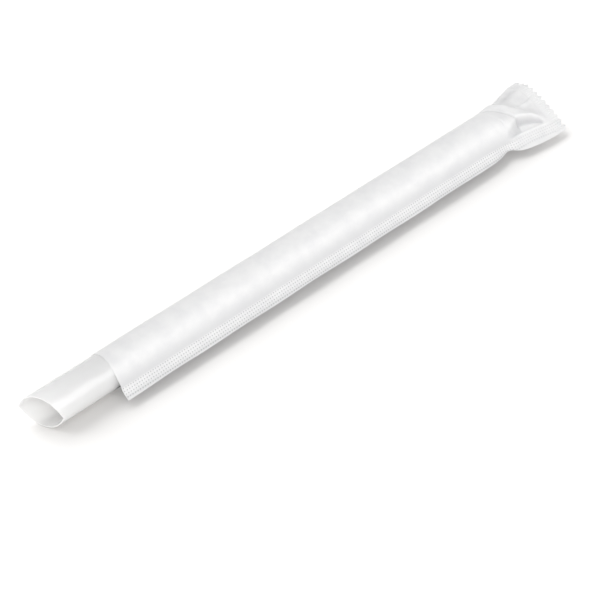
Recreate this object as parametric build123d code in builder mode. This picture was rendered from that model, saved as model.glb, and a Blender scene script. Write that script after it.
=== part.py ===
from build123d import *
from math import acos, atan2, cos, degrees, hypot, pi, radians, sin
import os

# Wrapped drinking straw, in millimetres. +X runs along the straw from its slanted
# cut to the sealed end of the sleeve, +Z is up, and the sleeve's seam is on the
# -Y side. The origin is on the table, under the middle of the straw.

# Straw
straw_diameter = 12.0
straw_wall = 0.3
straw_length = 190.0
cut_run = 7.0              # how far the slanted cut runs along the straw
tip_roll = 8.0             # the cut's tip sits this many degrees above level
knife_margin = 0.02        # the knife passes this far outside the tube's skin

# Sleeve, one sheet of paper folded round the straw
paper = 0.1
straw_play = 0.1           # air between the straw and the paper round it
bare_length = 27.0         # straw that shows in front of the sleeve's mouth
table_strip = 3.4          # width of the paper that lies flat on the table

# Seam, two bonded layers that stand out along the whole sleeve
root_gap = 1.8             # from the round of the sleeve out to the seam's root
root_drop = 0.4            # the root lies this far below the straw's axis
seam_width = 4.1
seam_bow = 0.23            # the seam hollows this much across its width
seam_droop = 39.5          # degrees below level
seam_edge_slope = 27.0     # degrees, at the free edge

# Collapsed end, beyond the straw
end_play = 0.5             # the sleeve stays round this far past the straw
flap_length = 24.5
seal_length = 4.5          # the two sides are bonded over this length
pocket_stop = 0.4          # the hollow ends this far before the bonded length
pocket_air = 0.2
seal_swell = 0.05          # the pressed ribs make the bond a little thicker
crease_shares = (0.18, 0.38, 0.59, 0.8)
collapse_rate = 1.3
ridge_lift = 1.8           # raised fold that crosses the collapsed part
dent_depth = 3.0           # hollow between that fold and the seam
seam_nick = 1.4            # the seam's free edge turns in before it flares

# Sealed end, bowed across its width and highest at a crest
seal_spread = 2.6          # the seam's root moves out this far as the sleeve flattens
seal_take_up = 0.956       # share of the flattened width that the bow leaves
crest_lift = 3.9           # above the straw's axis
back_drop = 1.7            # from the crest to the back corner
front_corner_height = 2.2
front_power = 1.55
seam_flare = 3.8

# Zigzag cut
tooth_count = 12
tooth_depth = 1.1

# Folds of the sheet: degrees round the straw, and shares of the sealed width
ridge_angle, upper_angle, crest_angle, lower_angle = 105.0, 70.0, 35.0, -30.0
upper_folds = (0.07, 0.134, 0.39, 0.763, 1.0)
lower_folds = (1.0, 0.763, 0.742, 0.39, 0.134, 0.07)

# Derived
straw_radius = straw_diameter / 2
bore_radius = straw_radius - straw_wall
inner_radius = straw_radius + straw_play
outer_radius = inner_radius + paper
axis_height = outer_radius
root_reach = outer_radius + root_gap
root_distance = hypot(root_reach, root_drop)
root_angle = 180 + degrees(atan2(root_drop, root_reach))
tangent_span = degrees(acos(outer_radius / root_distance))
strip_angle = 90 - 2 * degrees(atan2(table_strip / 2, outer_radius))
seam_thickness = 2 * paper
seal_thickness = 2 * paper + seal_swell
pocket_height = 2 * paper + pocket_air
tip_x = -straw_length / 2
mouth_x = tip_x + bare_length
round_end = straw_length / 2 + end_play
seal_end = round_end + flap_length
seal_start = seal_end - seal_length
pocket_end = seal_start - pocket_stop
half_sheet = outer_radius * radians(180 - tangent_span) + root_distance * sin(radians(tangent_span))
seal_span = seal_take_up * half_sheet
seal_root_y = -(root_reach + seal_spread)
back_corner_y = seal_root_y + seal_span
crest_y = seal_root_y + upper_folds[3] * seal_span
crest_height = axis_height + crest_lift
front_corner_y = seal_root_y - seam_flare


def shifted(point, angle, distance):
    turn = radians(angle)
    return (point[0] + distance * cos(turn), point[1] + distance * sin(turn))


def blended(start, end, share):
    return tuple((1 - share) * a + share * b for a, b in zip(start, end))


def seal_height(y):
    if y > crest_y:
        return crest_height - back_drop * (y - crest_y) / (back_corner_y - crest_y)
    share = (crest_y - y) / (crest_y - front_corner_y)
    return crest_height - (crest_height - front_corner_height) * share**front_power


def round_ring(radius):
    """Corners of the sleeve round the straw, clockwise from the seam's root."""
    centre = (0, axis_height)
    scale = radius / outer_radius
    root = (-root_reach * scale, axis_height - root_drop * scale)
    strip = table_strip / 2 * scale
    angles = (root_angle - tangent_span, ridge_angle, upper_angle, crest_angle, 0)
    angles += (lower_angle, -strip_angle)
    ring = [root] + [shifted(centre, angle, radius) for angle in angles]
    ring += [(strip, axis_height - radius), (-strip, axis_height - radius)]
    ring += [shifted(centre, angle, radius) for angle in (180 + strip_angle, root_angle + tangent_span)]
    return ring


def flat_ring(height):
    """The same corners where the sleeve is pressed flat."""
    ring = []
    for side, folds in ((1, (0,) + upper_folds), (-1, lower_folds)):
        for share in folds:
            y = seal_root_y + share * seal_span
            ring.append((y, seal_height(y) + side * height / 2))
    return ring


def inset(ring, distance):
    """Moves every side of a clockwise ring inwards."""
    moved = []
    for index, (y, z) in enumerate(ring):
        before = ring[index - 1]
        after = ring[(index + 1) % len(ring)]
        first = atan2(z - before[1], y - before[0])
        second = atan2(after[1] - z, after[0] - y)
        half_turn = (second - first + pi) % (2 * pi) / 2 - pi / 2
        reach = distance / cos(half_turn)
        moved.append(shifted((y, z), degrees(first + half_turn) - 90, reach))
    return moved


def crease_ring(share):
    ring = [blended(a, b, share) for a, b in zip(round_ring(outer_radius), flat_ring(pocket_height))]
    swell = sin(pi * share) ** 2
    ring[1] = shifted(ring[1], -38, dent_depth * swell)
    ring[2] = shifted(ring[2], 37, ridge_lift * swell)
    return ring


def side(start, end, bow=0):
    """One side of an outline, straight or bowed to the left of its way."""
    if abs(bow) < 0.02:
        return Line(start, end, mode=Mode.PRIVATE)
    middle = blended(start, end, 0.5)
    across = degrees(atan2(end[1] - start[1], end[0] - start[0])) + 90
    return ThreePointArc(start, shifted(middle, across, bow), end, mode=Mode.PRIVATE)


def ring_sides(ring, share, radius):
    """Sides from the root round to the last corner, rounder near the straw."""
    angles = (root_angle - tangent_span, ridge_angle, upper_angle, crest_angle, 0)
    angles += (lower_angle, -strip_angle)
    turns = [0] + [wide - narrow for wide, narrow in zip(angles, angles[1:])]
    turns += [0, 0, 0, 180 + strip_angle - root_angle - tangent_span]
    bows = [radius * (1 - cos(radians(turn) / 2)) * (1 - share) for turn in turns]
    return [side(*ends) for ends in zip(ring, ring[1:], bows)]


def outside(x, ring, share, nick=0):
    """Outline of the sleeve and its seam across x."""
    root, last = ring[0], ring[-1]
    flat_edge = (front_corner_y, front_corner_height + seal_thickness / 2)
    edge = blended(shifted(root, 180 + seam_droop, seam_width), flat_edge, share**0.6)
    edge = (edge[0] + nick, edge[1])
    if x < seal_start:
        under_edge = shifted(edge, seam_edge_slope * (1 - share) - 90, seam_thickness)
        inwards = degrees(atan2(last[1] - root[1], last[0] - root[0]))
        under_root = shifted(root, inwards, seam_thickness)
    else:
        under_edge = (edge[0], edge[1] - seal_thickness)
        under_root = (root[0], root[1] - seal_thickness)
    bow = seam_bow * (1 - share)
    sides = ring_sides(ring, share, outer_radius)
    sides += [side(last, under_root), side(under_root, under_edge, bow)]
    sides += [side(under_edge, edge), side(edge, root, -bow)]
    return Plane.YZ.offset(x) * Face(Wire(sides))


def inside(x, ring, share):
    sides = ring_sides(ring, share, inner_radius) + [side(ring[-1], ring[0])]
    return Plane.YZ.offset(x) * Face(Wire(sides))


# Cross-sections of the sleeve, from its last round one to the zigzag cut
outlines = [outside(round_end, round_ring(outer_radius), 0)]
hollows = [inside(round_end, round_ring(inner_radius), 0)]
for along in crease_shares:
    x = round_end + along * (pocket_end - round_end)
    share = along**collapse_rate
    nick = seam_nick if along == crease_shares[0] else 0
    outlines.append(outside(x, crease_ring(share), share, nick))
    hollows.append(inside(x, inset(crease_ring(share), paper), share))
outlines.append(outside(pocket_end, flat_ring(pocket_height), 1))
hollows.append(inside(pocket_end, inset(flat_ring(pocket_height), paper), 1))
outlines += [outside(x, flat_ring(seal_thickness), 1) for x in (seal_start, seal_end)]

# Straw: a tube, cut on the slant while it was squeezed flat
with BuildPart() as straw:
    with BuildSketch(Plane.YZ.offset(tip_x)):
        with Locations((0, axis_height)):
            Circle(straw_radius)
            Circle(bore_radius, mode=Mode.SUBTRACT)
    extrude(amount=straw_length)
    knife_radius = straw_radius + knife_margin
    knife = Plane(
        origin=(tip_x, 0, axis_height),
        x_dir=(1, 0, 0),
        z_dir=(0, -sin(radians(tip_roll)), cos(radians(tip_roll))),
    )
    with BuildSketch(knife):
        with BuildLine():
            steps = [pi * step / 12 for step in range(13)]
            path = [(cut_run * step / pi, knife_radius * cos(step)) for step in steps]
            Spline(path, tangents=[(1, 0), (1, 0)])
            Polyline(path[-1], (-1, -knife_radius), (-1, knife_radius), path[0])
        make_face()
    extrude(amount=knife_radius, both=True, mode=Mode.SUBTRACT)

# Sleeve: round the straw with its seam, then collapsed to a sealed zigzag end
with BuildPart() as wrapper:
    extrude(outlines[0], amount=round_end - mouth_x, dir=(-1, 0, 0))
    loft(outlines, ruled=True)
    extrude(hollows[0], amount=round_end - mouth_x, dir=(-1, 0, 0), mode=Mode.SUBTRACT)
    loft(hollows, ruled=True, mode=Mode.SUBTRACT)

    # Zigzag cut across the sealed end
    tooth_pitch = (back_corner_y - front_corner_y) / tooth_count
    with BuildSketch(Plane.XY):
        for tooth in range(tooth_count + 1):
            with Locations((seal_end, front_corner_y + tooth * tooth_pitch)):
                Polygon((-tooth_depth, 0), (0.2, -tooth_pitch * 0.6), (0.2, tooth_pitch * 0.6), align=None)
    extrude(amount=2 * outer_radius, mode=Mode.SUBTRACT)

straw.part.label = "straw"
wrapper.part.label = "wrapper"

os.makedirs("parts", exist_ok=True)
export_step(straw.part, "parts/straw.step")
export_step(wrapper.part, "parts/wrapper.step")
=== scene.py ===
import math

import bmesh
import bpy
import numpy as np
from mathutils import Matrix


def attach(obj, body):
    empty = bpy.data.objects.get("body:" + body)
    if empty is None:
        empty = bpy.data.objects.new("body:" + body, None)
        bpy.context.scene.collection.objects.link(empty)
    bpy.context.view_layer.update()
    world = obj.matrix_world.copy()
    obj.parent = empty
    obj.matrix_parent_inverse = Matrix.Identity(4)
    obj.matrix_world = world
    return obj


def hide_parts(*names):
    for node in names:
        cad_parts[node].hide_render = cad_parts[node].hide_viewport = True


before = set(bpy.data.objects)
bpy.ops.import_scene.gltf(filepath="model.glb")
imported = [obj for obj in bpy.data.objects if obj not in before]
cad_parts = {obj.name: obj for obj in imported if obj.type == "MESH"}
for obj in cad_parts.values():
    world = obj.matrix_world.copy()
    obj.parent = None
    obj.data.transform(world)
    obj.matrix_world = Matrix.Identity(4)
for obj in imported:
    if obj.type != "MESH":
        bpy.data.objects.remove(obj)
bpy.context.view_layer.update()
mm = 0.001  # sizes below are in millimetres, meshes in metres


def smooth(value, low, high):
    share = np.clip((value - low) / (high - low), 0.0, 1.0)
    return share * share * (3 - 2 * share)


def linear(hexColour):
    channels = [int(hexColour[i:i + 2], 16) / 255 for i in (1, 3, 5)]
    return tuple(c / 12.92 if c <= 0.04045 else ((c + 0.055) / 1.055) ** 2.4 for c in channels) + (1.0,)


def addNode(tree, kind, settings=None, links=None):
    # settings: attribute or input name to value, links: input name to output socket
    node = tree.nodes.new(kind)
    for name, value in (settings or {}).items():
        if hasattr(node, name):
            setattr(node, name, value)
        else:
            node.inputs[name].default_value = value
    for name, socket in (links or {}).items():
        tree.links.new(socket, node.inputs[name])
    return node


def mathNode(tree, operation, first, second=None, third=None):
    node = addNode(tree, "ShaderNodeMath", {"operation": operation})
    for index, value in enumerate((first, second, third)):
        if isinstance(value, (int, float)):
            node.inputs[index].default_value = value
        elif value is not None:
            tree.links.new(value, node.inputs[index])
    return node.outputs[0]


def mixColour(tree, share, first, second):
    node = addNode(tree, "ShaderNodeMix", {"data_type": "RGBA"}, {"Factor": share})
    colours = [socket for socket in node.inputs if socket.type == "RGBA"]
    tree.links.new(first, colours[0])
    colours[1].default_value = second
    return [socket for socket in node.outputs if socket.type == "RGBA"][0]


def newMaterial(name):
    material = bpy.data.materials.new(name)
    material.use_nodes = True
    material.node_tree.nodes.clear()
    return material, material.node_tree


def newPiece(name, points, faces, edges=()):
    mesh = bpy.data.meshes.new(name)
    mesh.from_pydata([tuple(p) for p in np.asarray(points) * mm], list(edges), faces)
    piece = bpy.data.objects.new(name, mesh)
    bpy.context.scene.collection.objects.link(piece)
    return piece


def addValues(piece, name, values):
    values = np.asarray(values, dtype=np.float32)
    kind, field = ("FLOAT", "value") if values.ndim == 1 else ("FLOAT_VECTOR", "vector")
    piece.data.attributes.new(name, kind, "POINT").data.foreach_set(field, values.ravel())


def gridFaces(rows, columns, offset=0, flip=False):
    # quads between rings that close on themselves
    faces = []
    for i in range(rows - 1):
        for j in range(columns):
            k = (j + 1) % columns
            quad = (offset + i * columns + j, offset + i * columns + k,
                    offset + (i + 1) * columns + k, offset + (i + 1) * columns + j)
            faces.append(quad[::-1] if flip else quad)
    return faces


def tidyNormals(piece):
    # also joins points that lie on each other
    work = bmesh.new()
    work.from_mesh(piece.data)
    bmesh.ops.remove_doubles(work, verts=work.verts, dist=1e-7)
    bmesh.ops.recalc_face_normals(work, faces=work.faces)
    work.to_mesh(piece.data)
    work.free()


def shadeSmooth(piece, angle):
    piece.data.shade_smooth()
    piece.data.set_sharp_from_angle(angle=math.radians(angle))


view = {
    "place": (-371.99, -403.04, 499.87),
    "heading": 46.428,  # degrees from +X towards +Y
    "elevation": 42.816,
    "lens": 144.0,
    "sensor": 36.0,
    "nearest": 10.0,  # nothing closer than this is drawn
}


def makeCamera():
    camera = bpy.data.objects.new("camera", bpy.data.cameras.new("camera"))
    bpy.context.scene.collection.objects.link(camera)
    camera.location = [v * mm for v in view["place"]]
    camera.rotation_euler = (math.radians(90 - view["elevation"]), 0, math.radians(view["heading"] - 90))
    camera.data.lens = view["lens"]
    camera.data.sensor_width = view["sensor"]
    camera.data.clip_start = view["nearest"] * mm
    bpy.context.scene.camera = camera


makeCamera()
print("camera set")


straw = {
    "radius": 6.0,
    "wall": 0.3,
    "start": -95.0,
    "end": 95.0,
    "cutRun": 7.0,  # the slanted cut, tip to heel
    "tipRoll": 8.0,  # degrees above level, on the back side
    "axisHeight": 6.2,
    "segments": 144,
    "ringSteps": 24,  # rings along each wall, closer near the cut
    "ringPower": 2.2,
    "rimRound": 0.1,
    "rimSteps": 5,
    "crispAngle": 50,
    "colour": "#FAF9F7",
    "roughness": 0.25,
    "roughSpread": (-0.01, 0.02),  # from line to line
    "glow": 1.0,  # how much of the light enters the milky wall
    "glowDepth": 0.6,
    "lineSpacing": 1.2,  # coarser than real, so that the lines show
    "lineStretch": 0.02,  # each line is fifty times as long as it is wide
    "lineDepth": 0.0008,
}


def makeStraw():
    s = straw
    turn = np.linspace(0, 2 * math.pi, s["segments"], endpoint=False)
    away = np.abs((turn + math.pi) % (2 * math.pi) - math.pi) / math.pi  # 0 at the tip, 1 at the heel
    cut = s["start"] + s["cutRun"] * away
    roll = math.radians(s["tipRoll"])
    # along the outside, round the near rim, back inside, round the far rim
    path = [(s["radius"], share, 0) for share in np.linspace(1, 0, s["ringSteps"])]
    middle, half = s["radius"] - s["wall"] / 2, s["wall"] / 2
    bend = np.radians(np.linspace(0, 180, s["rimSteps"] + 2)[1:-1])
    path += [(middle + half * math.cos(a), 0, -s["rimRound"] * math.sin(a)) for a in bend]
    path += [(s["radius"] - s["wall"], share, 0) for share in np.linspace(0, 1, s["ringSteps"])]
    path += [(middle - half * math.cos(a), 1, s["rimRound"] * math.sin(a)) for a in bend]
    rings = []
    for radius, share, shift in path + path[:1]:
        x = cut + (s["end"] - cut) * share ** s["ringPower"] + shift
        rings.append(np.stack([x, radius * np.cos(turn + roll),
                               s["axisHeight"] + radius * np.sin(turn + roll)], 1))
    piece = newPiece("straw_tube", np.concatenate(rings), gridFaces(len(rings), s["segments"]))
    tidyNormals(piece)
    shadeSmooth(piece, s["crispAngle"])
    return piece


def strawMaterial():
    # white polypropylene, extruded: a soft gloss, a milky wall that light enters,
    # and faint lines along the tube
    s = straw
    material, tree = newMaterial("whitePolypropylene")
    place = addNode(tree, "ShaderNodeTexCoord")
    stretch = addNode(tree, "ShaderNodeMapping", {"Scale": (s["lineStretch"], 1.0, 1.0)},
                      {"Vector": place.outputs["Object"]})
    lines = addNode(tree, "ShaderNodeTexNoise", {"Scale": 1 / (s["lineSpacing"] * mm), "Detail": 2.0},
                    {"Vector": stretch.outputs[0]})
    least, most = (s["roughness"] + spread for spread in s["roughSpread"])
    rough = addNode(tree, "ShaderNodeMapRange", {"To Min": least, "To Max": most},
                    {"Value": lines.outputs[0]})
    bump = addNode(tree, "ShaderNodeBump", {"Strength": 1.0, "Distance": s["lineDepth"] * mm},
                   {"Height": lines.outputs[0]})
    shader = addNode(tree, "ShaderNodeBsdfPrincipled",
                     {"Base Color": linear(s["colour"]), "IOR": 1.49, "Subsurface Weight": s["glow"],
                      "Subsurface Radius": (1.0, 1.0, 1.0), "Subsurface Scale": s["glowDepth"] * mm},
                     {"Roughness": rough.outputs[0], "Normal": bump.outputs[0]})
    addNode(tree, "ShaderNodeOutputMaterial", None, {"Surface": shader.outputs[0]})
    return material


strawPiece = makeStraw()
strawPiece.data.materials.append(strawMaterial())
print("straw made")


sleeve = {
    "mouth": -68.0,
    "roundEnd": 95.5,
    "pocketEnd": 115.1,
    "sealStart": 115.5,
    "end": 120.0,
    "radius": 6.2,
    "paper": 0.08,
    "strip": 3.4,  # flat on the table
    "rootReach": 8.0,  # where the seam starts, out from the axis
    "rootDrop": 0.4,  # and below it
    "rootSink": 0.6,  # further out and down where the end begins to collapse
    "sinkAt": 97.0,
    "sinkReach": 5.0,
    "sinkShare": 0.22,  # of each side, from the root
    "sinkWay": (-0.77, -0.64),
    "sealThickness": 0.25,
    "pocketHeight": 0.4,
    "collapseRate": 1.3,
    "columns": 76,  # across one side
    "arcPoints": (60, 30, 16),  # over the top, under the back, under the front
    "finePoints": 241,  # along each side, before it is divided into columns
    "step": 1.2,  # along the round part
    "creaseStep": 0.2,  # along the collapsed part, from a little before the round end
    "creaseLead": 1.1,
    "innerStep": 8.0,  # along the inner skin, where it is round and where it collapses
    "innerCreaseStep": 1.0,
    "innerEnd": 113.0,
    "crispAngle": 75,  # bends sharper than this stay crisp
    "smoothShare": 0.15,  # of each side, from the root, without sag and wrinkles
    "sag": 0.05,  # soft unevenness of the paper
    "sagSeed": 5,
    "sagWaves": 9,
    "sagWeights": (0.4, 1.0),
    "sagStart": (0.0, 6.28),
    "sagAlong": (0.03, 0.22),  # radians to a millimetre
    "sagAround": (1, 5),  # whole waves, fewer than the second number
    "sagHeights": (0.3, 2.0),  # none where the paper lies on the table
    "sagEnd": (111.0, 115.0),
    "wrinkle": 0.05,  # short wrinkles about the straw's far end
    "wrinkleWaves": ((1.9, 38.0, 0.0), (0.9, -21.0, 1.3)),  # rate along, rate round, start
    "wrinkleHeights": (3.0, 6.0),
    "wrinkleStart": (88.0, 96.0),
    "wrinkleEnd": (108.0, 114.0),
    "foldShare": 0.08,  # of the upper side, from the root, over which the folds set in
    "foldEnd": (117.0, 119.5),
    "soften": (-0.2, 0.0, 0.2),  # folds are averaged over this way, along and across
    "foldShade": 1.1,  # painted shade where a fold dips
    "rootPaintedShade": 0.6,  # painted shade round the seam's root, where the sheet stands free of the straw
    "freeShare": 0.24,
    "freeEnd": (96.0, 104.0),
}

seal = {
    "rootY": -10.4,
    "backY": 8.8,
    "frontY": -14.4,
    "crestY": 4.2,
    "crestHeight": 10.1,
    "backDrop": 1.7,
    "frontHeight": 2.2,
    "frontPower": 1.55,
    "bodyTeeth": 10.0,
    "seamTeeth": 2.0,
    "toothDepth": 1.3,
    "toothRun": 2.2,  # the ribs bend with the teeth over this length
}

# Folds that cross the collapsed end, seen from above: points (x, y, lift) along
# each, and how far its slope reaches on the back and on the front side.
folds = (
    {"line": ((98.6, 6.4, 0.5), (101.2, 4.3, 0.8), (104.6, 0.6, 0.8), (107.4, -2.6, 0.5)),
     "back": 3.0, "front": 2.6},
    {"line": ((102.7, 0.2, 0.0), (104.8, -4.2, 0.35), (107.5, -5.2, 0.9), (110.6, -6.3, 1.2),
              (113.4, -8.0, 0.4)),
     "back": 3.6, "front": 0.35},
    {"line": ((96.9, 5.0, -0.3), (99.0, 2.9, -0.4), (101.7, -0.9, -0.35), (104.4, -4.2, -0.3)),
     "back": 0.5, "front": 1.2},
    {"line": ((118.6, 0.4, 0.1), (116.0, -0.9, 0.4), (112.6, -1.6, 0.55), (108.4, -1.6, 0.2)),
     "back": 1.2, "front": 0.6},
    {"line": ((105.0, 3.4, -0.2), (109.0, 4.2, -0.6), (113.5, 5.6, -0.3)), "back": 2.0, "front": 2.4},
    {"line": ((97.4, -2.1, 0.0), (98.8, -3.1, 0.16), (99.3, -4.4, 0.2), (98.8, -5.5, 0.0)),
     "back": 0.7, "front": 0.5},
    {"line": ((97.0, -3.1, 0.0), (97.9, -4.0, 0.12), (98.1, -5.0, 0.14), (97.6, -5.8, 0.0)),
     "back": 0.6, "front": 0.5},
)

hollow = {
    # the paper has dropped in front of this line, down to a ramp that rises from the seam's root:
    # points (x, y, width of the slope)
    "line": ((93.8, -8.3, 3.8), (99.0, -6.1, 3.2), (103.2, -5.0, 2.2), (104.9, -4.6, 0.75),
             (107.6, -5.5, 0.6), (110.6, -6.6, 0.6), (113.2, -8.2, 0.6), (114.8, -10.4, 0.8)),
    "ramp": 0.22,  # rise of the ramp to a millimetre
    "gap": 0.25,  # it stays this far above the lower side
    "paintedShade": (0.5, 0.9),  # painted shade on the slope: where it starts, and beyond its corner
    "corner": (103.5, 105.5),
    "shadeIn": 0.3,  # in widths of the slope, from its top
    "shadeOut": (1.2, 1.9),
    "shadeDrop": (0.1, 0.9),  # in millimetres of depth
}


def sealHeight(y):
    c = seal
    back = c["crestHeight"] - c["backDrop"] * (y - c["crestY"]) / (c["backY"] - c["crestY"])
    share = np.clip((c["crestY"] - y) / (c["crestY"] - c["frontY"]), 0, None)
    front = c["crestHeight"] - (c["crestHeight"] - c["frontHeight"]) * share ** c["frontPower"]
    return np.where(y > c["crestY"], back, front)


def arc(start, end, count):
    a = np.radians(np.linspace(start, end, count))
    r = sleeve["radius"]
    return np.stack([r * np.cos(a), r + r * np.sin(a)], 1)


def resample(path, shares):
    steps = np.concatenate([[0], np.cumsum(np.hypot(*np.diff(path, axis=0).T))])
    at = np.asarray(shares) * steps[-1]
    return np.stack([np.interp(at, steps, path[:, 0]), np.interp(at, steps, path[:, 1])], 1)


def roundSides():
    # upper and lower side of the sleeve round the straw, from the seam's root and back to it
    s = sleeve
    root = np.array([[-s["rootReach"], s["radius"] - s["rootDrop"]]])
    away = math.hypot(s["rootReach"], s["rootDrop"])
    middle = 180 + math.degrees(math.atan2(s["rootDrop"], s["rootReach"]))
    span = math.degrees(math.acos(s["radius"] / away))
    strip = 90 - 2 * math.degrees(math.atan2(s["strip"] / 2, s["radius"]))
    top, back, front = s["arcPoints"]
    upper = np.concatenate([root, arc(middle - span, 0, top)])
    flat = np.array([[s["strip"] / 2, 0], [-s["strip"] / 2, 0]])
    lower = np.concatenate([arc(0, -strip, back), flat, arc(180 + strip, middle + span, front), root])
    return upper, lower


upperRound, lowerRound = roundSides()
# how far along each side the folds lie, round the straw and on the sealed end
upperKeys = ((0, 0.246, 0.45, 0.62, 0.80, 1.0), (0, 0.07, 0.134, 0.39, 0.763, 1.0))
lowerKeys = ((0, 0.32, 0.40, 0.57, 0.66, 0.75, 1.0), (0, 0.237, 0.258, 0.61, 0.866, 0.93, 1.0))
fine = np.linspace(0, 1, sleeve["finePoints"])


def collapse(x):
    s = sleeve
    return np.clip((x - s["roundEnd"]) / (s["pocketEnd"] - s["roundEnd"]), 0, 1) ** s["collapseRate"]


def sinkDepth(x):
    return sleeve["rootSink"] * math.exp(-((x - sleeve["sinkAt"]) / sleeve["sinkReach"]) ** 2)


def sectionSides(x):
    # upper and lower side at x, as points (y, z)
    s = sleeve
    share = collapse(x)
    pressed = smooth(x, s["pocketEnd"], s["sealStart"])
    height = s["pocketHeight"] + (s["sealThickness"] - s["pocketHeight"]) * pressed
    sides = []
    for path, keys, sign in ((upperRound, upperKeys, 1), (lowerRound, lowerKeys, -1)):
        across = np.interp(fine, *keys)
        if sign < 0:
            across = 1 - across
        y = seal["rootY"] + across * (seal["backY"] - seal["rootY"])
        lift = np.where((sign < 0) & (fine > 0.999), 1, sign)  # both sides meet at the root
        flat = np.stack([y, sealHeight(y) + lift * height / 2], 1)
        fromRoot = fine if sign > 0 else 1 - fine
        sunk = sinkDepth(x) * (1 - smooth(fromRoot, 0, s["sinkShare"]))
        sunk = sunk[:, None] * np.array(s["sinkWay"])
        sides.append((1 - share) * resample(path, fine) + share * flat + sunk)
    return sides


def nearestOn(line, x, y):
    # distance to a line seen from above, its third value there, and on which side: above 0 is the back
    nearest = np.full_like(y, 1e9)
    found, side = np.zeros_like(y), np.zeros_like(y)
    for a, b in zip(line, line[1:]):
        run = (b[0] - a[0], b[1] - a[1])
        share = np.clip(((x - a[0]) * run[0] + (y - a[1]) * run[1]) / (run[0]**2 + run[1]**2), 0, 1)
        dx, dy = x - a[0] - share * run[0], y - a[1] - share * run[1]
        away = np.hypot(dx, dy)
        closer = away < nearest
        nearest = np.where(closer, away, nearest)
        found = np.where(closer, a[2] + share * (b[2] - a[2]), found)
        side = np.where(closer, run[0] * dy - run[1] * dx, side)
    return nearest, found, side


def foldUpper(x, points, lower):
    # lifts the folds of the upper side and drops its hollow, and tells how much painted shade each point
    # gets where a fold dips and on the hollow's slope
    y, z = points[:, 0], points[:, 1]
    risen, dipShade = z.copy(), np.zeros_like(z)
    for fold in folds:
        nearest, lift, side = nearestOn(fold["line"], x, y)
        reach = np.where(side > 0, fold["back"], fold["front"])
        change = lift * np.clip(1 - nearest / reach, 0, 1) ** 2 * (1 + nearest / reach)
        risen += change
        # painted shade where a fold dips
        dipShade = np.maximum(dipShade, -sleeve["foldShade"] * change)
    nearest, slope, side = nearestOn(hollow["line"], x, y)
    inwards = np.where(side < 0, nearest, 0) / slope * (x > hollow["line"][0][0])
    fall = smooth(inwards, 0, 1)
    ramp = points[0, 1] + hollow["ramp"] * (y - points[0, 0])
    order = np.argsort(lower[:, 0])
    ramp = np.maximum(ramp, np.interp(y, lower[order, 0], lower[order, 1]) + hollow["gap"])
    drop = np.maximum(risen - ramp, 0)
    # painted shade on the hollow's slope, deeper where the paper drops further
    slopeShade = smooth(inwards, 0, hollow["shadeIn"]) * (1 - smooth(inwards, *hollow["shadeOut"]))
    dipShade = np.maximum(dipShade, slopeShade * smooth(drop, *hollow["shadeDrop"]))
    return risen - fall * drop, dipShade


def softNoise(x, turn):
    # smooth sum of a few waves, along and round the sleeve
    s = sleeve
    rng = np.random.default_rng(s["sagSeed"])
    total = 0
    for _ in range(s["sagWaves"]):
        along = x * rng.uniform(*s["sagAlong"])
        around = turn * rng.integers(*s["sagAround"]) * 2 * math.pi
        start, weight = rng.uniform(*s["sagStart"]), rng.uniform(*s["sagWeights"])
        total = total + np.sin(along + around + start) * weight
    return total / math.sqrt(s["sagWaves"])


def wrinkles(x, turn):
    waves = sleeve["wrinkleWaves"]
    return sum(np.sin(x * along + turn * around + start) for along, around, start in waves) / len(waves)


def toothShift(x, phase):
    # phase counts teeth along the cut, and a tooth's tip is at each half
    back = np.abs(phase % 1 - 0.5) * 2
    return -seal["toothDepth"] * back * smooth(x, sleeve["end"] - seal["toothRun"], sleeve["end"])


def sleeveRing(x, inwards=0.0):
    # points round the sleeve at x, and how much painted shade the paper gets at each
    s = sleeve
    columns = s["columns"]
    upper, lower = sectionSides(x)
    shares = np.linspace(0, 1, columns + 1)
    ring = np.concatenate([resample(upper, shares), resample(lower, shares)[1:-1]])
    turn = np.linspace(0, 1, len(ring), endpoint=False)
    out = ring - ring.mean(0)
    out /= np.maximum(np.hypot(out[:, 0], out[:, 1]), 1e-6)[:, None]
    # soft unevenness, none where the paper lies on the table, at the seam's root or where it is sealed
    fromRoot = np.minimum(np.arange(len(ring)), len(ring) - np.arange(len(ring))) / columns
    offRoot = smooth(fromRoot, 0, s["smoothShare"])
    sag = s["sag"] * smooth(ring[:, 1], *s["sagHeights"]) * (1 - smooth(x, *s["sagEnd"])) * offRoot
    creased = smooth(x, *s["wrinkleStart"]) * (1 - smooth(x, *s["wrinkleEnd"]))
    creased = creased * smooth(ring[:, 1], *s["wrinkleHeights"]) * offRoot
    push = sag * softNoise(x, turn) + s["wrinkle"] * creased * wrinkles(x, turn) - inwards
    # averaged over a short way along and across, so that slanting slopes come out even
    near = [foldUpper(x + along, ring[:columns + 1] + (across, 0), ring[columns:])
            for along in s["soften"] for across in s["soften"]]
    folded, dipShade = np.mean(near, 0)
    share = smooth(fromRoot[:columns + 1], 0, s["foldShare"]) * (1 - smooth(x, *s["foldEnd"]))
    ring[:columns + 1, 1] += (folded - ring[:columns + 1, 1]) * share
    # painted shade: greyer round the seam's root, where the sheet stands free of the straw, and in the
    # dips and hollows of the collapsed end
    free = s["rootPaintedShade"] * (1 - smooth(fromRoot, 0, s["freeShare"])) * (1 - smooth(x, *s["freeEnd"]))
    # painted shade in the dips and on the hollow's slope of the upper side
    hollowPaintedShade = np.interp(smooth(x, *hollow["corner"]), (0, 1), hollow["paintedShade"])
    free[:columns + 1] = np.maximum(free[:columns + 1], hollowPaintedShade * dipShade * share)
    return ring + out * push[:, None], free


def bodyPhase():
    # which tooth each point of a ring belongs to, counted from the seam's edge
    columns = sleeve["columns"]
    toBack = np.arange(columns + 1) / columns * seal["bodyTeeth"]
    return seal["seamTeeth"] + np.concatenate([toBack, toBack[-2:0:-1]])


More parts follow.
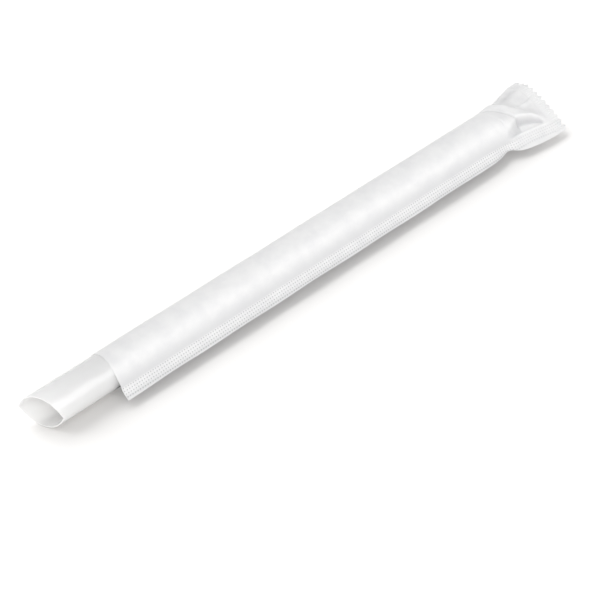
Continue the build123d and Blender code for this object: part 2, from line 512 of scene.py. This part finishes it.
def makeSleeveBody():
    s = sleeve
    bend = s["roundEnd"] - s["creaseLead"]
    stations = np.concatenate([
        np.linspace(s["mouth"], bend, round((bend - s["mouth"]) / s["step"])),
        np.arange(bend + s["creaseStep"], s["end"] - s["creaseStep"] / 4, s["creaseStep"]), [s["end"]]])
    columns, around = s["columns"], 2 * s["columns"]
    phase = bodyPhase()
    rings, shades = [], []
    for x in stations:
        ring, paintedShade = sleeveRing(x)
        rings.append(np.column_stack([x + toothShift(x, phase), ring]))
        shades.append(paintedShade)
    faces = gridFaces(len(stations), around)
    # the cut end, upper side joined to lower
    last = (len(stations) - 1) * around
    for j in range(columns):
        corners = (j, j + 1, around - j - 1, (around - j) % around)
        faces.append(tuple(last + k for k in dict.fromkeys(corners)))
    # inner skin, from the mouth to where the hollow ends
    inner = np.concatenate([np.arange(s["mouth"], s["roundEnd"], s["innerStep"]),
                            np.arange(s["roundEnd"], s["innerEnd"], s["innerCreaseStep"])])
    start = len(stations) * around
    for x in inner:
        ring, paintedShade = sleeveRing(x, s["paper"])
        rings.append(np.column_stack([np.full(around, x), ring]))
        shades.append(paintedShade)
    faces += gridFaces(len(inner), around, offset=start, flip=True)
    faces += [(j, start + j, start + (j + 1) % around, (j + 1) % around) for j in range(around)]
    faces.append(tuple(start + (len(inner) - 1) * around + j for j in range(around))[::-1])
    piece = newPiece("paper_sleeve", np.concatenate(rings), faces)
    # painted shade for each point, read by the paper material
    addValues(piece, "paintedShade", np.concatenate(shades))
    tidyNormals(piece)
    shadeSmooth(piece, s["crispAngle"])
    return piece


seam = {
    "width": 4.1,
    "thickness": 0.2,
    "droop": 39.5,  # degrees below level
    "overlap": 0.12,  # it starts this far inside the sleeve
    "bow": 0.25,
    "mouthBow": 0.2,  # it hollows and hangs a little more at the mouth
    "mouthBowEnd": -50.0,
    "mouthDrop": 0.45,
    "mouthDropEnd": -48.0,
    "nick": 1.5,
    "nickAt": 97.0,
    "nickReach": (4.5, 2.0),  # before and after it
    "flareRate": 0.6,
    "sealBend": (113.0, 115.0),  # it takes on the bow of the sealed end along here
    "wave": 0.12,  # slow waves of the free edge
    "waves": ((1.0, 0.21, 0.0), (0.6, 0.083, 1.1)),  # weight, rate along, start
    "waveStart": (-60.0, -40.0),
    "waveEnd": (95.0, 110.0),
    "columns": 21,
    "step": 0.2,
    "crispAngle": 60,
    "dotPitch": 0.95,
    "rowPitch": 0.9,
    "firstRow": 0.72,
    "rows": 4,
    "rowMargin": 0.4,  # pits end so many millimetres before the first row, and pitches after the last
    "dotDepth": 0.2,
    "dotSharpness": 1.5,
    "leastWidth": 0.95,  # share of the width that the rows keep at the nick
    "flareFade": 0.55,  # the pits are fainter where the seam flares
    "flareStart": (97.0, 103.0),
    # painted shade on the strip: a little all over, more along the root and on the band of the last row
    "paintedShade": 0.17,
    "rootShade": 0.45,
    "rootBand": (0.1, 0.7),
    "rootEnd": (99.0, 104.0),
    "bandShade": 0.4,
    "bandWidth": 0.4,
}


def edgeAt(x, root):
    # the seam's free edge at x
    s = seam
    share = collapse(x) ** s["flareRate"]
    droop = math.radians(180 + s["droop"])
    hanging = root + (s["width"] - sinkDepth(x)) * np.array([math.cos(droop), math.sin(droop)])
    flat = np.array([seal["frontY"], seal["frontHeight"] + sleeve["sealThickness"] / 2])
    reach = s["nickReach"][0 if x < s["nickAt"] else 1]
    nick = math.exp(-((x - s["nickAt"]) / reach) ** 2) * s["nick"]
    wave = s["wave"] * sum(weight * math.sin(x * rate + start) for weight, rate, start in s["waves"])
    wave = wave * (1 - smooth(x, *s["waveEnd"])) * smooth(x, *s["waveStart"])
    drop = s["mouthDrop"] * (1 - smooth(x, sleeve["mouth"], s["mouthDropEnd"]))
    return (1 - share) * hanging + share * flat + np.array([nick, wave - drop])


def makeSeamStrip():
    # the two bonded layers, with what the embossing and the material read
    s = seam
    stations = np.arange(sleeve["mouth"], sleeve["end"] - s["step"] / 4, s["step"])
    stations = np.append(stations, sleeve["end"])
    columns, around = s["columns"], 2 * s["columns"]
    shares = np.linspace(0, 1, columns)
    phase = (1 - shares) * seal["seamTeeth"]
    rows, alongs, acrosses, pushes, depths = [], [], [], [], []
    for x in stations:
        root = sectionSides(x)[0][0]
        chord = edgeAt(x, root) - root
        width = np.hypot(*chord)
        down = np.array([-chord[1], chord[0]]) / width  # square to the seam, on its lower side
        flat = smooth(x, sleeve["roundEnd"], sleeve["pocketEnd"])
        bow = s["bow"] + s["mouthBow"] * (1 - smooth(x, sleeve["mouth"], s["mouthBowEnd"]))
        bow = bow * (1 - flat) * 4 * shares * (1 - shares)
        start = root - s["overlap"] * chord / width * (1 - shares)[:, None]
        middle = start + chord * shares[:, None] + down * bow[:, None]
        thick = s["thickness"] + (sleeve["sealThickness"] - s["thickness"]) * flat
        sealed = smooth(x, *s["sealBend"])
        middle[:, 1] += sealed * (sealHeight(middle[:, 0]) + sleeve["sealThickness"] / 2 - middle[:, 1])
        xs = x + toothShift(x, phase)
        for depth, order in ((0.0, 1), (thick, -1)):
            rows.append(np.column_stack([xs, middle + down * depth])[::order])
            alongs.append(np.full(columns, x))
            acrosses.append((shares * max(width, s["leastWidth"] * s["width"]))[::order])
            pushes.append(np.tile([0, down[0], down[1]], (columns, 1)))
            depths.append(np.full(columns, 1 - s["flareFade"] * smooth(x, *s["flareStart"])))
    faces = gridFaces(len(stations), around)
    faces.append(tuple(range(around))[::-1])
    last = (len(stations) - 1) * around
    faces += [(last + j, last + j + 1, last + around - 2 - j, last + around - 1 - j)
              for j in range(columns - 1)]
    piece = newPiece("paper_seam", np.concatenate(rows), faces)
    along, across, pressed = np.concatenate(alongs), np.concatenate(acrosses), np.concatenate(depths)
    # painted shade: a little over the whole strip, more at the root and where the last row of pits runs
    # together
    lastRow = s["firstRow"] + (s["rows"] - 1) * s["rowPitch"]
    paintedShade = s["paintedShade"] + s["bandShade"] * np.exp(-((across - lastRow) / s["bandWidth"]) ** 2)
    atRoot = s["rootShade"] * (1 - smooth(across, *s["rootBand"])) * (1 - smooth(along, *s["rootEnd"]))
    paintedShade = paintedShade * pressed + atRoot
    for name, values in (("along", along), ("across", across), ("paintedShade", paintedShade), ("pressed", pressed),
                         ("push", np.concatenate(pushes))):
        addValues(piece, name, values)
    return piece


def pitNodes(tree, along, across, dotPitch, rowPitch, firstRow, rows):
    # 1 at the middle of each pit: a wave along times a wave across, within the rows
    waves = []
    fromFirst = mathNode(tree, "SUBTRACT", across, firstRow)
    for value, pitch in ((along, dotPitch), (fromFirst, rowPitch)):
        turns = mathNode(tree, "MULTIPLY", mathNode(tree, "DIVIDE", value, pitch), 2 * math.pi)
        waves.append(mathNode(tree, "MAXIMUM", mathNode(tree, "COSINE", turns), 0.0))
    pit = mathNode(tree, "POWER", mathNode(tree, "MULTIPLY", *waves), seam["dotSharpness"])
    span = mathNode(tree, "MULTIPLY", mathNode(tree, "SUBTRACT", rows, 1 - seam["rowMargin"]), rowPitch)
    inRows = mathNode(tree, "MULTIPLY", mathNode(tree, "LESS_THAN", fromFirst, span),
                      mathNode(tree, "GREATER_THAN", fromFirst, -seam["rowMargin"]))
    return mathNode(tree, "MULTIPLY", pit, inRows)


def newTree(name, inputs):
    # inputs: name to kind of socket and value
    tree = bpy.data.node_groups.new(name, "GeometryNodeTree")
    tree.interface.new_socket("Geometry", in_out="INPUT", socket_type="NodeSocketGeometry")
    for label, (kind, value) in inputs.items():
        socket = tree.interface.new_socket(label, in_out="INPUT", socket_type=kind)
        if value is not None:
            socket.default_value = value
    tree.interface.new_socket("Geometry", in_out="OUTPUT", socket_type="NodeSocketGeometry")
    return tree, addNode(tree, "NodeGroupInput"), addNode(tree, "NodeGroupOutput")


def runTree(piece, tree, values):
    # turns the piece into the plain mesh that the tree makes of it
    modifier = piece.modifiers.new(tree.name, "NODES")
    modifier.node_group = tree
    for socket in tree.interface.items_tree:
        if socket.in_out == "INPUT" and socket.name in values:
            modifier[socket.identifier] = values[socket.name]
    evaluated = piece.evaluated_get(bpy.context.evaluated_depsgraph_get())
    mesh = bpy.data.meshes.new_from_object(evaluated)
    piece.modifiers.clear()
    piece.data = mesh


def embossTree():
    # presses the pits of the seam into its mesh
    tree, given, out = newTree("seamEmbossing", {
        "Dot Pitch": ("NodeSocketFloat", 1.0), "Row Pitch": ("NodeSocketFloat", 1.0),
        "First Row": ("NodeSocketFloat", 0.5), "Rows": ("NodeSocketFloat", 4.0),
        "Depth": ("NodeSocketFloat", 0.0001), "Paper": ("NodeSocketMaterial", None)})
    along, across, pressed, push = (
        addNode(tree, "GeometryNodeInputNamedAttribute", {"data_type": kind, "Name": name}).outputs[0]
        for name, kind in (("along", "FLOAT"), ("across", "FLOAT"), ("pressed", "FLOAT"),
                           ("push", "FLOAT_VECTOR")))
    pit = pitNodes(tree, along, across, given.outputs["Dot Pitch"],
                   given.outputs["Row Pitch"], given.outputs["First Row"], given.outputs["Rows"])
    pit = mathNode(tree, "MULTIPLY", pit, pressed)
    depth = mathNode(tree, "MULTIPLY", pit, given.outputs["Depth"])
    offset = addNode(tree, "ShaderNodeVectorMath", {"operation": "SCALE"},
                     {"Vector": push, "Scale": depth})
    moved = addNode(tree, "GeometryNodeSetPosition", None,
                    {"Geometry": given.outputs["Geometry"], "Offset": offset.outputs[0]})
    real = addNode(tree, "GeometryNodeRealizeInstances", None, {"Geometry": moved.outputs[0]})
    paint = addNode(tree, "GeometryNodeSetMaterial", None,
                    {"Geometry": real.outputs[0], "Material": given.outputs["Paper"]})
    tree.links.new(paint.outputs[0], out.inputs[0])
    return tree


ribs = {
    "pitch": 0.78,
    "length": 3.2,
    "radius": 0.26,
    "innerRadius": 0.12,  # they fade into the paper away from the cut
    "rise": 0.12,  # how far they stand out of the paper
    "sides": 8,
    "frontMargin": 0.5,  # bare edge in front of the first and behind the last
    "backMargin": 0.2,
    "linePoints": 60,
}


def ribTree():
    # thin tapered ribs, square to the cut, spaced along a line across the sealed end
    tree, given, out = newTree("sealRibs", {
        "Pitch": ("NodeSocketFloat", 0.0008), "Length": ("NodeSocketFloat", 0.0034),
        "Radius": ("NodeSocketFloat", 0.00017), "Inner Radius": ("NodeSocketFloat", 0.0001),
        "Paper": ("NodeSocketMaterial", None)})
    curve = addNode(tree, "GeometryNodeMeshToCurve", None, {"Mesh": given.outputs["Geometry"]})
    spaced = addNode(tree, "GeometryNodeResampleCurve", {"mode": "LENGTH"},
                     {"Curve": curve.outputs[0], "Length": given.outputs["Pitch"]})
    rod = addNode(tree, "GeometryNodeMeshCone", {"Vertices": ribs["sides"]},
                  {"Radius Top": given.outputs["Radius"], "Radius Bottom": given.outputs["Inner Radius"],
                   "Depth": given.outputs["Length"]})
    lain = addNode(tree, "GeometryNodeTransform", {"Rotation": (0, math.pi / 2, 0)},
                   {"Geometry": rod.outputs[0]})
    placed = addNode(tree, "GeometryNodeInstanceOnPoints", None,
                     {"Points": spaced.outputs[0], "Instance": lain.outputs[0]})
    real = addNode(tree, "GeometryNodeRealizeInstances", None, {"Geometry": placed.outputs[0]})
    paint = addNode(tree, "GeometryNodeSetMaterial", None,
                    {"Geometry": real.outputs[0], "Material": given.outputs["Paper"]})
    tree.links.new(paint.outputs[0], out.inputs[0])
    return tree


def makeRibs(tree, side, material):
    # side is 1 on top and -1 underneath
    y = np.linspace(seal["frontY"] + ribs["frontMargin"], seal["backY"] - ribs["backMargin"],
                    ribs["linePoints"])
    x = sleeve["sealStart"]
    z = sealHeight(y) + side * (sleeve["sealThickness"] / 2 + ribs["rise"] - ribs["radius"])
    line = newPiece("seal_ribs", np.column_stack([np.full(len(y), x), y, z]), [],
                    [(i, i + 1) for i in range(len(y) - 1)])
    runTree(line, tree, {"Pitch": ribs["pitch"] * mm, "Length": ribs["length"] * mm,
                         "Radius": ribs["radius"] * mm, "Inner Radius": ribs["innerRadius"] * mm,
                         "Paper": material})
    shadeSmooth(line, seam["crispAngle"])
    return line


paper = {
    "light": "#F8F8F8",
    "cloudy": "#F0F0F1",
    "free": "#CDCDCF",  # the colour of painted shade, round the seam's root and in the hollows
    # painted shade in the pressed pits
    "pit": "#A2A2A4",
    "roughness": 0.5,
    "cloudSize": 5.0,
    "cloudRange": (0.3, 0.62),  # cloudy below, light above
    "cockleDepth": 0.06,
    "fibreSize": 0.6,  # coarser than real, so that the fibres show
    "fibreStretch": 0.4,  # along the sleeve
    "fibreDepth": 0.02,
}


def paperMaterial():
    # bleached wrapping paper, glazed on one side: a dull sheen, faintly cloudy,
    # with short fibres along the sleeve, and painted shade in the pits, at the seam's root and in the
    # hollows
    material, tree = newMaterial("glazedWrappingPaper")
    place = addNode(tree, "ShaderNodeTexCoord")
    cloud = addNode(tree, "ShaderNodeTexNoise",
                    {"Scale": 1 / (paper["cloudSize"] * mm), "Detail": 3.0, "Roughness": 0.6},
                    {"Vector": place.outputs["Object"]})
    stretch = addNode(tree, "ShaderNodeMapping", {"Scale": (paper["fibreStretch"], 1.0, 1.0)},
                      {"Vector": place.outputs["Object"]})
    fibre = addNode(tree, "ShaderNodeTexNoise", {"Scale": 1 / (paper["fibreSize"] * mm), "Detail": 2.0},
                    {"Vector": stretch.outputs[0]})
    tone = addNode(tree, "ShaderNodeValToRGB", None, {"Fac": cloud.outputs[0]})
    for element, position, colour in zip(tone.color_ramp.elements, paper["cloudRange"],
                                         (paper["cloudy"], paper["light"])):
        element.position = position
        element.color = linear(colour)
    # painted shade: darker pits where the seam is pressed, and greyer paper where the pieces carry shade
    # values
    along, across, pressed, paintedShade = (
        addNode(tree, "ShaderNodeAttribute", {"attribute_name": name}).outputs["Fac"]
        for name in ("along", "across", "pressed", "paintedShade"))
    pit = pitNodes(tree, along, across, seam["dotPitch"], seam["rowPitch"], seam["firstRow"],
                   float(seam["rows"]))
    pit = mathNode(tree, "MULTIPLY", pit, pressed)
    # painted shade from the pieces' values, then painted shade in the pits
    greyer = mixColour(tree, paintedShade, tone.outputs[0], linear(paper["free"]))
    result = mixColour(tree, pit, greyer, linear(paper["pit"]))
    tooth = addNode(tree, "ShaderNodeBump", {"Strength": 1.0, "Distance": paper["fibreDepth"] * mm},
                    {"Height": fibre.outputs[0]})
    cockle = addNode(tree, "ShaderNodeBump", {"Strength": 1.0, "Distance": paper["cockleDepth"] * mm},
                     {"Height": cloud.outputs[0], "Normal": tooth.outputs[0]})
    shader = addNode(tree, "ShaderNodeBsdfPrincipled", {"Roughness": paper["roughness"], "IOR": 1.5},
                     {"Base Color": result, "Normal": cockle.outputs[0]})
    addNode(tree, "ShaderNodeOutputMaterial", None, {"Surface": shader.outputs[0]})
    return material


sheetMaterial = paperMaterial()
sleevePiece = makeSleeveBody()
sleevePiece.data.materials.append(sheetMaterial)
print("sleeve made")

seamPiece = makeSeamStrip()
runTree(seamPiece, embossTree(), {"Dot Pitch": seam["dotPitch"], "Row Pitch": seam["rowPitch"],
                                  "First Row": seam["firstRow"], "Rows": float(seam["rows"]),
                                  "Depth": seam["dotDepth"] * mm, "Paper": sheetMaterial})
shadeSmooth(seamPiece, seam["crispAngle"])
ribNodes = ribTree()
ribPieces = [makeRibs(ribNodes, side, sheetMaterial) for side in (1, -1)]
print("seam and sealed end made")

with bpy.context.temp_override(active_object=sleevePiece,
                               selected_editable_objects=[sleevePiece, seamPiece] + ribPieces):
    bpy.ops.object.join()
print("sleeve joined", len(sleevePiece.data.polygons), "faces")

for piece, node in ((strawPiece, "straw"), (sleevePiece, "wrapper")):
    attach(piece, "root")
    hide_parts(node)


stage = {
    "floor": "#F0EFEE",
    "floorHalf": 3000.0,
    "ambient": 0.62,
    "key": 0.36,  # soft, from the left of the camera
    "keyElevation": 46.0,
    "keyHeading": 213.0,
    "keySize": 40.0,
    "strip": 0.5,  # seen in the gloss only, from the right
    "stripElevation": 26.0,
    "stripHeading": -56.0,
    "stripSize": 44.0,
    "fill": 0.22,  # low, on the floor only, from the seam's side
    "fillElevation": 30.0,
    "fillHeading": -100.0,
    "fillSize": 40.0,
    "shadow": 0.82,  # on the floor only, from behind
    "shadowElevation": 44.0,
    "shadowHeading": 103.0,
    "shadowSize": 62.0,
}


def addSun(name, level, elevation, heading, size):
    # heading is where the light comes from, in degrees from +X towards +Y
    lamp = bpy.data.objects.new(name, bpy.data.lights.new(name, "SUN"))
    bpy.context.scene.collection.objects.link(lamp)
    lamp.data.energy = level * math.pi
    lamp.data.angle = math.radians(size)
    lamp.rotation_euler = (math.radians(90 - elevation), 0, math.radians(heading + 90))
    return lamp


def makeStage():
    half = stage["floorHalf"]
    floor = newPiece("floor", [(-half, -half, 0), (half, -half, 0), (half, half, 0), (-half, half, 0)],
                     [(0, 1, 2, 3)])
    material, tree = newMaterial("paleTableTop")
    surface = addNode(tree, "ShaderNodeBsdfDiffuse", {"Color": linear(stage["floor"])})
    addNode(tree, "ShaderNodeOutputMaterial", None, {"Surface": surface.outputs[0]})
    floor.data.materials.append(material)
    key = addSun("key", stage["key"], stage["keyElevation"], stage["keyHeading"], stage["keySize"])
    strip = addSun("strip", stage["strip"], stage["stripElevation"], stage["stripHeading"],
                   stage["stripSize"])
    strip.visible_diffuse = False
    back = addSun("shadowLight", stage["shadow"], stage["shadowElevation"], stage["shadowHeading"],
                  stage["shadowSize"])
    fill = addSun("fill", stage["fill"], stage["fillElevation"], stage["fillHeading"], stage["fillSize"])
    for name, receivers, lamps in (("onlyFloor", [floor], [back, fill]),
                                   ("onlyPieces", [strawPiece, sleevePiece], [key])):
        group = bpy.data.collections.new(name)
        for receiver in receivers:
            group.objects.link(receiver)
        for lamp in lamps:
            lamp.light_linking.receiver_collection = group
    world = bpy.data.worlds.new("world")
    bpy.context.scene.world = world
    world.use_nodes = True
    tree = world.node_tree
    rays = addNode(tree, "ShaderNodeLightPath")
    # white where it is seen or mirrored, the ambient level where it lights
    mirrored = mathNode(tree, "MAXIMUM", rays.outputs["Is Glossy Ray"],
                        rays.outputs["Is Transmission Ray"])
    seen = mathNode(tree, "MAXIMUM", rays.outputs["Is Camera Ray"], mirrored)
    level = mathNode(tree, "MULTIPLY_ADD", seen, 1 - stage["ambient"], stage["ambient"])
    sky = tree.nodes["Background"]
    sky.inputs["Color"].default_value = (1, 1, 1, 1)
    tree.links.new(level, sky.inputs["Strength"])
    bpy.context.scene.view_settings.view_transform = "Standard"


makeStage()
print("stage made")
